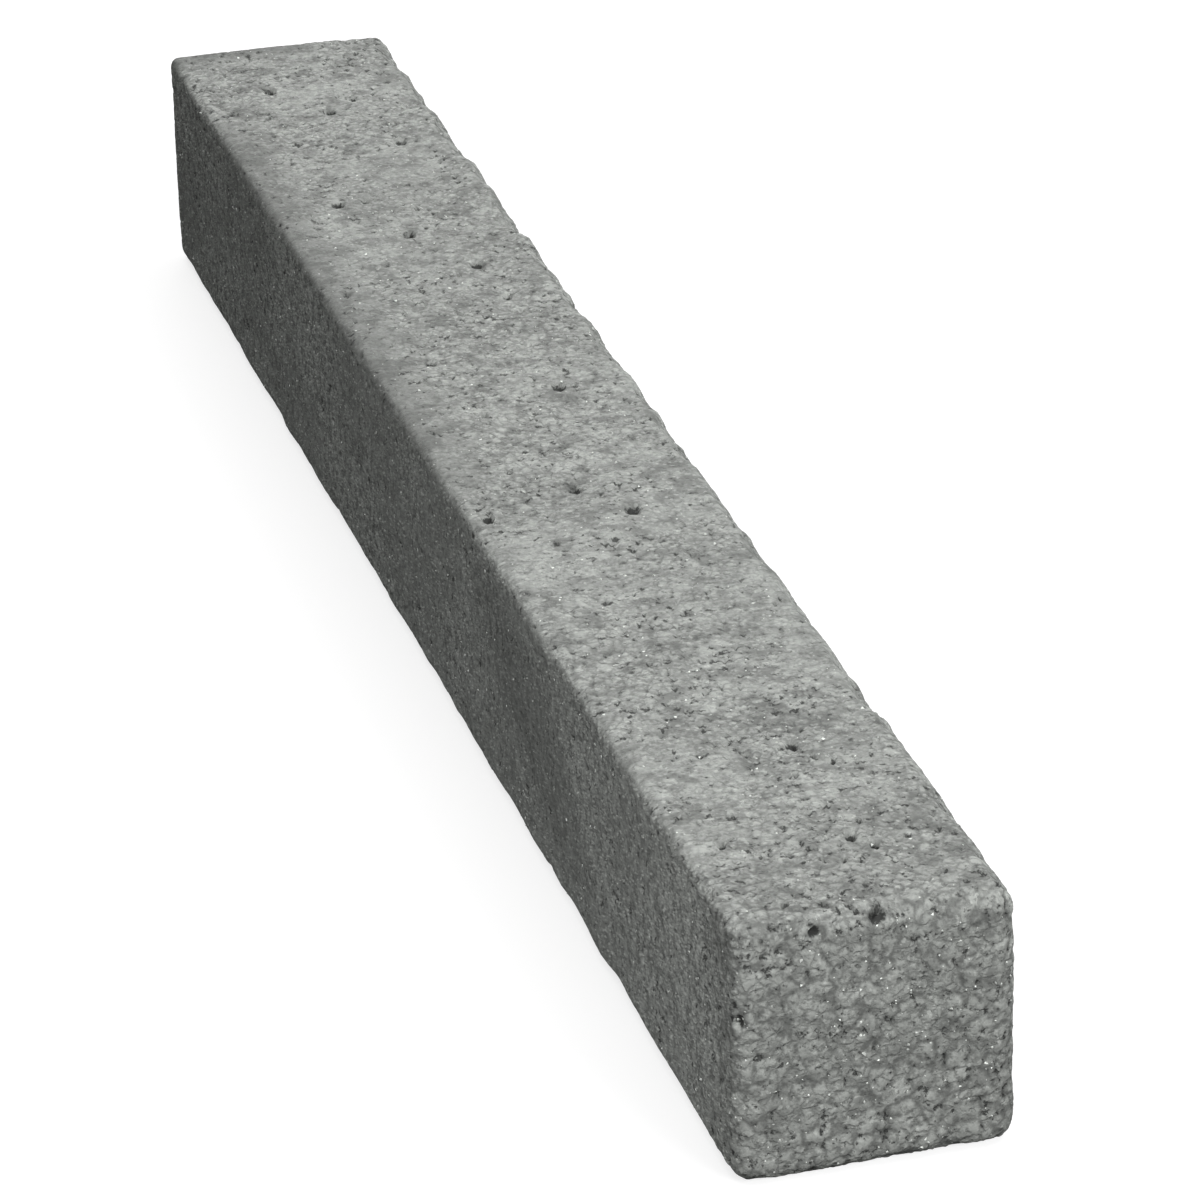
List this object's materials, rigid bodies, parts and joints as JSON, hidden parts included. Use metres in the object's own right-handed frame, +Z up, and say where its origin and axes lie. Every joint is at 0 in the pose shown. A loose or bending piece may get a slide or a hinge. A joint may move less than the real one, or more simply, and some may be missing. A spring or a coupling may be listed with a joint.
{
  "type": "sharpening stick",
  "caption": "Square stick of coarse bonded abrasive with worn, chipped arrises, for touching up gouges, knives and other edge tools.",
  "frame": {"origin": "centre of the underside, on the surface that the stick rests on", "axes": "+Y along the stick, from the front end to the back end; +X across it, to the right when looking along +Y; +Z up"},
  "size_m": [0.0164, 0.15, 0.0161],
  "materials": {
    "abrasive": "rough, porous and granular, with bright grains"
  },
  "bodies": {
    "root": {"abrasive_stick": "abrasive"}
  },
  "joints": []
}
